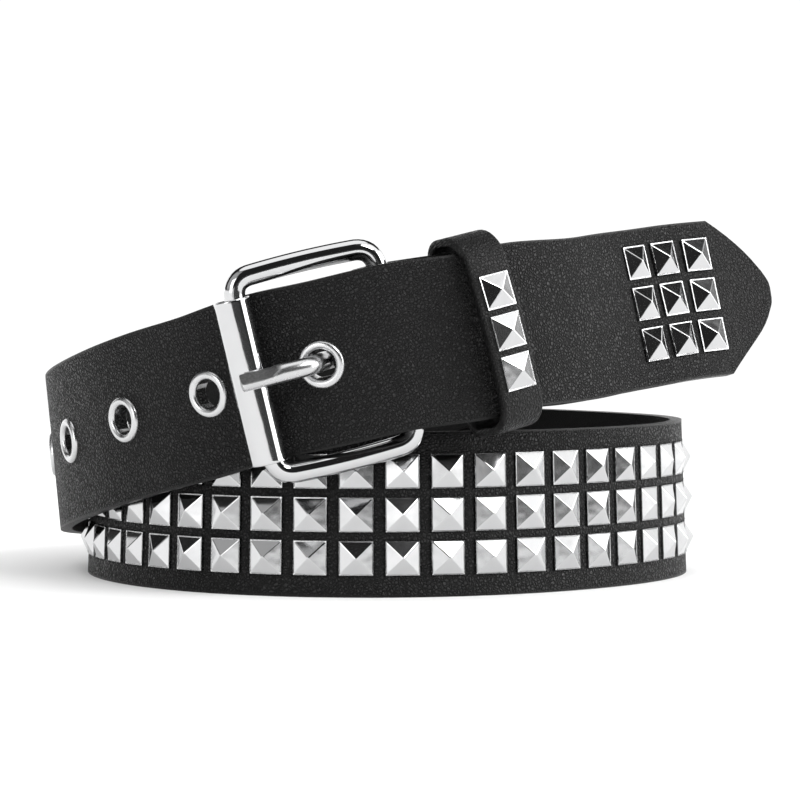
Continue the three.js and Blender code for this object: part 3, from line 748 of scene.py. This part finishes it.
def eyelet_section():
    rim_middle = (EYELET_BORE + EYELET_RIM) / 2
    rim_half = (EYELET_RIM - EYELET_BORE) / 2
    roll = [(rim_middle + rim_half * math.cos(angle), HALF_THICK + EYELET_PROUD * math.sin(angle))
            for angle in (math.pi * step / 10 for step in range(11))]
    back = -HALF_THICK
    flange = EYELET_BORE + 1.6 * MM
    return roll + [(EYELET_BORE, back - EYELET_WALL), (flange, back - EYELET_WALL),
                   (flange, back - 0.05 * MM), (EYELET_BORE + EYELET_WALL, back - 0.05 * MM),
                   (EYELET_BORE + EYELET_WALL, HALF_THICK - 0.1 * MM)]


def spun_mesh(name, section, steps):
    bm = bmesh.new()
    corners = [bm.verts.new((radius, 0, height)) for radius, height in section]
    rim = [bm.edges.new(pair) for pair in zip(corners, corners[1:] + corners[:1])]
    bmesh.ops.spin(bm, geom=corners + rim, cent=(0, 0, 0), axis=(0, 0, 1), angle=2 * math.pi,
                   steps=steps, use_merge=True, dvec=(0, 0, 0))
    bmesh.ops.remove_doubles(bm, verts=bm.verts, dist=0.001 * MM)
    mesh = bpy.data.meshes.new(name)
    bm.to_mesh(mesh)
    bm.free()
    return mesh


eyelet_mesh = spun_mesh("eyelet_template", eyelet_section(), 40)
eyelet_places = [facet_place(distance, eyelet_facet) for distance in eyelet_distances]
make_piece(set_copies(eyelet_mesh, eyelet_places), "rolled_eyelets", satin_plating,
           [f"eyelet_{number}" for number in range(1, 9)], sharp_from=50)

# %% [markdown]
# The frame of the buckle is a round wire bent into an oblong, with its top and bottom bars bowed
# out a little. A circle is drawn once and extruded from place to place along the wire's line.

# %% Sweep a ring along a line


def ring_place(before, place, after):
    run = (after - before).normalized()
    aside = run.cross(Vector((0, 1, 0))).normalized()
    matrix = Matrix((aside, Vector((0, 1, 0)), run)).transposed().to_4x4()
    return Matrix.Translation(place) @ matrix


def sweep(bm, section, places, closed):
    """Extrudes a circle of (radius, sides) from place to place; a closed sweep meets itself."""
    radius, sides = section
    ring = bmesh.ops.create_circle(bm, segments=sides, radius=radius, cap_ends=False)["verts"]
    edges = list(dict.fromkeys(edge for vertex in ring for edge in vertex.link_edges))
    bmesh.ops.transform(bm, matrix=places[0], verts=ring)
    first_edges, inverse = edges, places[0].inverted()
    for place in places[1:]:
        grown = bmesh.ops.extrude_edge_only(bm, edges=edges)["geom"]
        ring = [item for item in grown if isinstance(item, bmesh.types.BMVert)]
        edges = [item for item in grown if isinstance(item, bmesh.types.BMEdge)
                 and all(vertex in ring for vertex in item.verts)]
        bmesh.ops.transform(bm, matrix=place @ inverse, verts=ring)
        inverse = place.inverted()
    if closed:
        bmesh.ops.bridge_loops(bm, edges=edges + first_edges)
    return first_edges, edges


def quadratic(start, pull, end, steps):
    return [start * (1 - t) ** 2 + pull * (2 * t * (1 - t)) + end * t ** 2
            for t in (step / steps for step in range(steps))]


# %% Buckle frame
def frame_line():
    high = FRAME_HEIGHT / 2 - FRAME_WIRE / 2
    near, far, bow = 5.1 * MM, 5.4 * MM, 0.6 * MM
    corners = [
        ((-HEEL_U, -high + near), None, (-HEEL_U, high - near), 8),
        ((-HEEL_U, high - near), (-HEEL_U, high), (-HEEL_U + near, high), 10),
        ((-HEEL_U + near, high), (0, high + bow), (HEEL_U - far, high), 12),
        ((HEEL_U - far, high), (HEEL_U, high), (HEEL_U, high - far), 10),
        ((HEEL_U, high - far), None, (HEEL_U, -high + far), 8),
        ((HEEL_U, -high + far), (HEEL_U, -high), (HEEL_U - far, -high), 10),
        ((HEEL_U - far, -high), (0, -high - bow), (-HEEL_U + near, -high), 12),
        ((-HEEL_U + near, -high), (-HEEL_U, -high), (-HEEL_U, -high + near), 10),
    ]
    line = []
    for start, pull, end, steps in corners:
        ends = [Vector((u, 0, w)) for u, w in (start, end)]
        middle = Vector((pull[0], 0, pull[1])) if pull else (ends[0] + ends[1]) / 2
        line += quadratic(ends[0], middle, ends[1], steps)
    return line


def buckle_frame_mesh():
    line = frame_line()
    count = len(line)
    places = [ring_place(line[index - 1], line[index], line[(index + 1) % count])
              for index in range(count)]
    bm = bmesh.new()
    sweep(bm, (FRAME_WIRE / 2, 28), places, closed=True)
    bmesh.ops.transform(bm, matrix=buckle, verts=bm.verts)
    return bm


make_piece(buckle_frame_mesh(), "wire_frame", bright_plating, ["buckle_frame"])

# %% [markdown]
# The roller is a loose tube on the frame's left bar. Its ends are slightly turned in, so its
# section has small round corners before it is spun. One more ring close to each corner keeps the
# shading of the long wall straight.

# %% Roller
def roller_section():
    inner, half, edge = ROLLER_OUTER - ROLLER_WALL, ROLLER_LENGTH / 2, 0.35 * MM
    corner = [(ROLLER_OUTER - edge + edge * math.cos(angle), half - edge + edge * math.sin(angle))
              for angle in (math.pi / 2 * step / 4 for step in range(5))]
    upper = [(ROLLER_OUTER, half - 2 * edge)] + corner + [(inner, half)]
    lower = [(radius, -height) for radius, height in reversed(upper)]
    return upper + lower


roller_place = buckle @ Matrix.Translation((ROLLER_U, 0, -ROLLER_DROP))
make_piece(set_copies(spun_mesh("roller_template", roller_section(), 56), [roller_place]),
           "tube_roller", bright_plating, ["roller"])

# %% [markdown]
# The prong is a round rod. It starts in an eye round the heel bar, dips behind the strap, comes out
# steeply through the first eyelet and lies on the roller, where its tip is pressed flat.

# %% Prong
PRONG_WIRE, EYE_WALL = 4.3 * MM, 2.2 * MM
PRONG_TIP_OVERHANG, PRONG_TIP_FLAT = 2.9 * MM, 8 * MM
PRONG_LINE = [(0.29, 1), (0.38, 0.86), (0.455, 0.3), (0.515, -0.2), (0.61, -0.36), (0.74, -0.22)]
on_roller = ROLLER_OUTER + BAR_GAP + PRONG_WIRE / 2
eye_inner = FRAME_WIRE / 2 + BAR_GAP
prong_tip = ROLLER_U - PRONG_TIP_OVERHANG


def prong_line():
    points = [Vector((prong_tip, -on_roller, 0)), Vector((along_buckle(0.1), -on_roller, 0))]
    points += [Vector((along_buckle(along), -out * on_roller, 0)) for along, out in PRONG_LINE]
    points.append(Vector((HEEL_U - eye_inner - EYE_WALL / 2, 0, 0)))
    padded = [2 * points[0] - points[1], *points, 2 * points[-1] - points[-2]]
    line = []
    for span in range(len(points) - 1):
        slopes = span_slopes(*padded[span:span + 4])
        line += [span_point(padded[span + 1], padded[span + 2], slopes, step / 5)
                 for step in range(5)]
    return line + [points[-1]]


def prong_ring_place(before, place, after):
    run = (after - before).normalized()
    up = Vector((0, 0, 1))
    matrix = Matrix((run.cross(up).normalized(), up, -run)).transposed().to_4x4()
    return Matrix.Translation(place) @ matrix


def prong_mesh():
    line = prong_line()
    ends = [2 * line[0] - line[1], *line, 2 * line[-1] - line[-2]]
    places = [prong_ring_place(ends[index], ends[index + 1], ends[index + 2])
              for index in range(len(line))]
    bm = bmesh.new()
    first_edges, last_edges = sweep(bm, (PRONG_WIRE / 2, 24), places, closed=False)
    for edges in (first_edges, last_edges):
        bmesh.ops.edgeloop_fill(bm, edges=edges)
    bmesh.ops.bevel(bm, geom=first_edges, offset=0.5 * MM, segments=3, profile=0.5,
                    affect="EDGES", material=-1)
    return bm


def press_tip(bm):
    """Presses the worn flat on the tip's upper front side and marks its points."""
    worn = bm.verts.layers.float.new("worn")
    slope = Vector((0, -math.cos(math.radians(54)), math.sin(math.radians(54))))
    centre = Vector((0, -on_roller, 0))
    for vertex in bm.verts:
        reach = (vertex.co.x - prong_tip) / PRONG_TIP_FLAT
        if reach > 1.15:
            continue
        depth = PRONG_WIRE / 2 * (0.42 + 0.58 * max(0.0, min(1.0, (reach - 0.85) / 0.3)))
        height = (vertex.co - centre).dot(slope)
        if height > depth:
            vertex.co -= slope * (height - depth)
            vertex[worn] = 1.0


rod = prong_mesh()
press_tip(rod)
bmesh.ops.transform(rod, matrix=buckle, verts=rod.verts)
make_piece(rod, "prong_rod", satin_plating, ["prong"], sharp_from=40)


# %% Prong's eye
def eye_section():
    half, outer, edge = PRONG_WIRE / 2, eye_inner + EYE_WALL, 0.6 * MM
    corner = [(outer - edge + edge * math.cos(angle), half - edge + edge * math.sin(angle))
              for angle in (math.pi / 2 * step / 4 for step in range(5))]
    upper = corner + [(eye_inner, half)]
    return upper + [(radius, -height) for radius, height in reversed(upper)]


eye_place = buckle @ Matrix.Translation((HEEL_U, 0, 0))
make_piece(set_copies(spun_mesh("eye_template", eye_section(), 40), [eye_place]),
           "prong_eye", bright_plating)

# %% [markdown]
# The keeper is a leather band sewn into a loop. Its outline is a rectangle with rounded corners,
# inset by the leather's thickness; the ring between the two is then extruded to the band's width.

# %% Keeper
KEEPER_WALL, KEEPER_ROOM, KEEPER_SLACK, KEEPER_RISE = 2 * MM, 2.1 * MM, 0.75 * MM, 0.05 * MM
KEEPER_BULGE, KEEPER_BULGE_DROP = 2 * MM, 5 * MM
KEEPER_CORNERS = {(-1, 1): 7 * MM, (-1, -1): 6.2 * MM, (1, 1): 5 * MM, (1, -1): 4 * MM}
KEEPER_HALF_DEPTH = HALF_THICK + LAYER_STEP + KEEPER_SLACK + KEEPER_WALL
keeper_half_height = HALF_WIDTH + KEEPER_ROOM + KEEPER_WALL
keeper_reach = keeper_half_height + KEEPER_BULGE_DROP


def keeper_front(height):
    """How far the band's front stands out at a height, and by what angle it slopes there."""
    share = (height + KEEPER_BULGE_DROP) / keeper_reach
    return KEEPER_BULGE * (1 - share ** 2), math.atan(2 * KEEPER_BULGE * share / keeper_reach)


def keeper_ring(bm):
    bmesh.ops.create_grid(bm, x_segments=1, y_segments=14, size=1)
    for vertex in bm.verts:
        vertex.co.x *= KEEPER_HALF_DEPTH
        vertex.co.y *= keeper_half_height
    near = [vertex for vertex in bm.verts
            if 0.01 * MM < keeper_half_height - abs(vertex.co.y) < KEEPER_CORNERS[-1, 1] + 0.3 * MM]
    bmesh.ops.dissolve_verts(bm, verts=near)
    for (depth_side, height_side), radius in KEEPER_CORNERS.items():
        corner = Vector((depth_side * KEEPER_HALF_DEPTH, height_side * keeper_half_height, 0))
        verts = [vertex for vertex in bm.verts if (vertex.co - corner).length < 0.01 * MM]
        bmesh.ops.bevel(bm, geom=verts, offset=radius, segments=8, profile=0.5,
                        affect="VERTICES", material=-1)
    outer = list(bm.faces)
    bmesh.ops.inset_region(bm, faces=outer, thickness=KEEPER_WALL, use_even_offset=True,
                           use_boundary=True)
    bmesh.ops.delete(bm, geom=outer, context="FACES")


def keeper_mesh():
    bm = bmesh.new()
    keeper_ring(bm)
    bmesh.ops.solidify(bm, geom=bm.faces, thickness=KEEPER_WIDTH)
    low = min(vertex.co.z for vertex in bm.verts)
    bmesh.ops.translate(bm, verts=bm.verts, vec=(0, 0, -low - KEEPER_WIDTH / 2))
    rims = [edge for edge in bm.edges
            if abs(edge.verts[0].co.z - edge.verts[1].co.z) < 0.01 * MM
            and len(edge.link_faces) == 2 and edge.calc_face_angle(0) > math.radians(60)]
    bmesh.ops.bevel(bm, geom=rims, offset=0.55 * MM, segments=3, profile=0.5, affect="EDGES",
                    material=-1)
    return bm


def lay_keeper(bm):
    """Bends the band's front out, turns the band upright and gives each point its flat place: y
    across the band, z outwards."""
    flat_layer = bm.verts.layers.float_vector.new("flat")
    for vertex in bm.verts:
        depth, height, across = vertex.co
        inside = max(abs(depth) - KEEPER_HALF_DEPTH, abs(height) - keeper_half_height)
        vertex[flat_layer] = (height + depth * 0.5, across, inside + KEEPER_WALL / 2)
        bent = max(0.0, -depth / KEEPER_HALF_DEPTH) * keeper_front(height)[0]
        vertex.co = keeper_hold @ Vector((across, depth - bent, height + KEEPER_RISE))


band = keeper_mesh()
lay_keeper(band)
make_piece(band, "keeper_band", keeper_leather, ["keeper"], sharp_from=50)

# %% Keeper's studs
KEEPER_STUD_PITCH, KEEPER_STUD_DROP = 9.4 * MM, 0.6 * MM


def keeper_stud_place(step):
    height = step * KEEPER_STUD_PITCH - KEEPER_STUD_DROP
    out, slope = keeper_front(height)
    place = Matrix.Translation((0, -KEEPER_HALF_DEPTH - out, KEEPER_RISE + height))
    return keeper_hold @ place @ Matrix.Rotation(math.pi / 2 - slope, 4, "X")


make_piece(set_copies(stud_mesh, [keeper_stud_place(step) for step in (1, 0, -1)]),
           "keeper_studs", stud_plating,
           [f"keeper_stud_{number}" for number in range(1, 4)], sharp_from=6)

# %% [markdown]
# The belt stands on a plain white floor. Bright metal shows its surroundings, so most of the light
# comes from a world made of a few soft panels with dark gaps between them, which the plating and
# the leather's gloss show. The camera itself sees only white, and matt surfaces are lit evenly,
# which leaves a soft shadow where the belt meets the floor. One wide lamp from the right adds a
# direction.

# %% Floor
def floor_finish():
    material, board = new_board("floor_finish")
    board.surface({"Base Color": (0.9, 0.9, 0.9, 1), "Roughness": 0.9,
                   "Specular IOR Level": 0.0})
    return material


floor_bm = bmesh.new()
bmesh.ops.create_grid(floor_bm, x_segments=1, y_segments=1, size=0.9)
floor_mesh = bpy.data.meshes.new("floor")
floor_bm.to_mesh(floor_mesh)
floor_bm.free()
floor_mesh.materials.append(floor_finish())
floor = bpy.data.objects.new("floor", floor_mesh)
bpy.context.scene.collection.objects.link(floor)


# %% Light of the surroundings
SEEN_WHITE, MATT_LIGHT = 1.05, 1.12


def panel(turn, rise, azimuth, elevation, softness):
    """A soft-edged panel of light: azimuths are degrees right of the camera's side."""
    mask = turn.between(azimuth[0] - softness, azimuth[0] + softness)
    mask = mask * (1 - turn.between(azimuth[1] - softness, azimuth[1] + softness))
    mask = mask * rise.between(elevation[0] - softness, elevation[0] + softness)
    return mask * (1 - rise.between(elevation[1] - softness, elevation[1] + softness))


def light_world():
    world = bpy.data.worlds.new("studio")
    world.use_nodes = True
    board = Board(world.node_tree)
    direction = board.wire("ShaderNodeTexCoord", "Generated")
    split = board.add("ShaderNodeSeparateXYZ", None, {"Vector": direction})
    x, y, z = (Wire(board, socket) for socket in split.outputs)
    degrees = 180 / math.pi
    turn = x.math("ARCTAN2", x, y * -1) * degrees
    rise = z.math("ARCSINE", z) * degrees
    grey = 1 - 0.45 * panel(turn, rise, (-22, 6), (-20, 20), 4)
    gap = 1 - 0.96 * panel(turn, rise, (-4, 58), (-20, 13), 3)
    low = (1 - rise.between(4.5, 7.5)) * grey * gap
    right = panel(turn, rise, (38, 106), (36, 62), 4)
    left = panel(turn, rise, (-92, -28), (8, 60), 5)
    behind = panel(abs(turn), rise, (125, 200), (5, 30), 5)
    above = rise.between(61, 66)
    box_right = 5 * panel(turn, rise, (62, 118), (3, 34), 4)
    box_left = 3 * panel(turn, rise, (-50, -24), (3, 32), 4)
    light = 0.02 + low * 1.3 + right * 1.6 + left * 0.5 + behind * 1.35 + above * 1.4
    light = light + box_right + box_left
    seen = board.wire("ShaderNodeLightPath", "Is Camera Ray")
    spread = board.wire("ShaderNodeLightPath", "Is Diffuse Ray")
    strength = light * (1 - seen) * (1 - spread) + seen * SEEN_WHITE + spread * MATT_LIGHT
    background = board.add("ShaderNodeBackground", None,
                           {"Color": (1, 1, 1, 1), "Strength": strength})
    output = board.add("ShaderNodeOutputWorld")
    board.tree.links.new(background.outputs[0], output.inputs[0])
    bpy.context.scene.world = world


light_world()

# %% Lamp
lamp_data = bpy.data.lights.new("key_right", "SUN")
lamp_data.energy = 1.2
lamp_data.angle = math.radians(24)
lamp = bpy.data.objects.new("key_right", lamp_data)
lamp.rotation_euler = Vector((-0.5, 0.5, -0.7)).to_track_quat("-Z", "Y").to_euler()
bpy.context.scene.collection.objects.link(lamp)

# %% [markdown]
# The camera stands low in front, a little under a metre away, and looks down by two degrees.

# %% Camera
FOCAL_PIXELS, PICTURE = 3551.8, 800
camera_data = bpy.data.cameras.new("camera")
camera_data.sensor_width = 36
camera_data.lens = FOCAL_PIXELS / PICTURE * camera_data.sensor_width
camera_data.clip_end = 100
camera = bpy.data.objects.new("camera", camera_data)
camera.location = Vector((4.64, -889.0, 73.58)) * MM + SHIFT
camera.rotation_euler = (math.pi / 2 - 0.035, 0, 0)
bpy.context.scene.collection.objects.link(camera)
bpy.context.scene.camera = camera
bpy.context.scene.view_settings.view_transform = "Standard"
bpy.context.scene.view_settings.look = "None"
